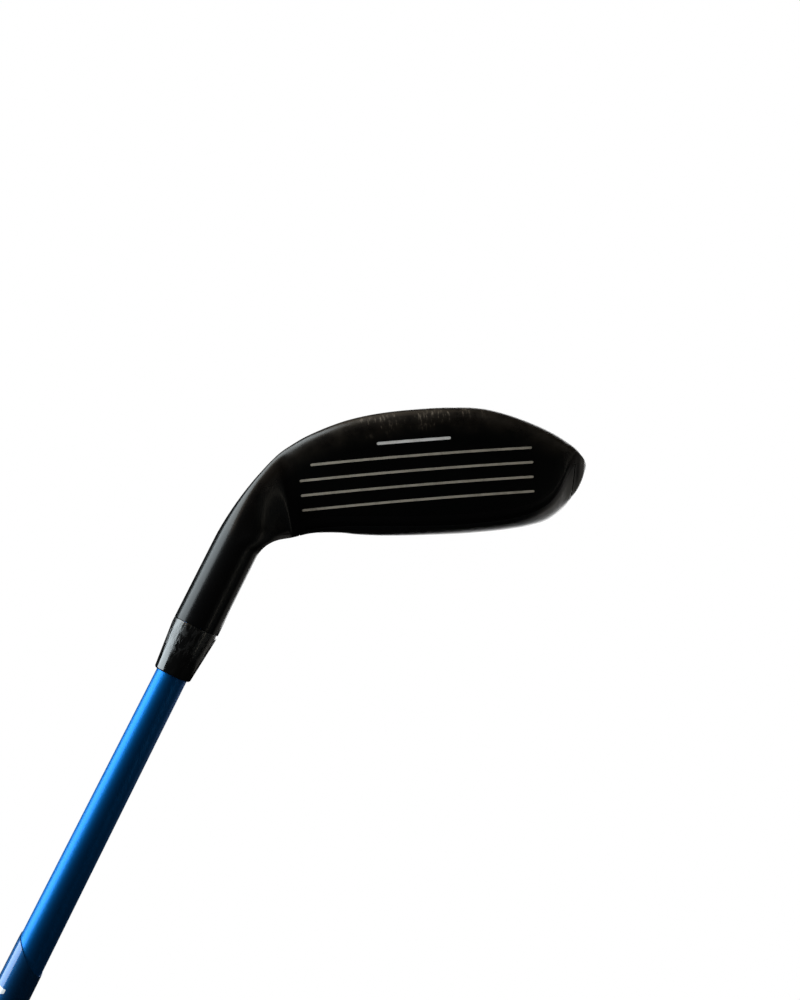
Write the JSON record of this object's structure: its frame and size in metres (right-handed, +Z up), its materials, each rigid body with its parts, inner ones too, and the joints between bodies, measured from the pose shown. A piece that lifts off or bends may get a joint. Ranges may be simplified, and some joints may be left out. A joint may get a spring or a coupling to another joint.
{
  "type": "hybrid golf club",
  "caption": "Right-handed hybrid golf club: hollow black head with a scored face, glossy ferrule, metallic blue tapered shaft and rubber grip.",
  "frame": {"origin": "centre of the grip's butt end, on the shaft's axis", "axes": "+Z up the shaft to the head, +X to the side the toe points to, -Y the side the face looks to"},
  "size_m": [0.103, 0.0666, 1.033],
  "materials": {
    "head_black": "satin",
    "crown_black": "satin",
    "face_black": "matte",
    "line_white": "satin",
    "line_grey": "satin",
    "weight_metal": "satin",
    "hot_melt": "satin",
    "ferrule_black": "gloss",
    "epoxy": "gloss",
    "plug_plastic": "matte",
    "tip_brass": "satin",
    "shaft_blue": "satin",
    "label_navy": "gloss",
    "tape": "matte",
    "grip_rubber": "matte"
  },
  "bodies": {
    "root": {"head_body": "head_black", "crown_shell": "crown_black", "face_plate": "face_black", "aim_line_paint": "line_white", "scoreline_paint_1": "line_grey", "scoreline_paint_2": "line_grey", "scoreline_paint_3": "line_grey", "scoreline_paint_4": "line_grey", "weight_screw": "weight_metal", "hot_melt_dab": "hot_melt", "ferrule": "ferrule_black", "epoxy_sleeve": "epoxy", "bore_plug": "plug_plastic", "tip_weight": "tip_brass", "shaft": "shaft_blue", "shaft_label": "label_navy", "grip_tape": "tape", "grip": "grip_rubber", "grip_cap": "grip_rubber"}
  },
  "joints": []
}
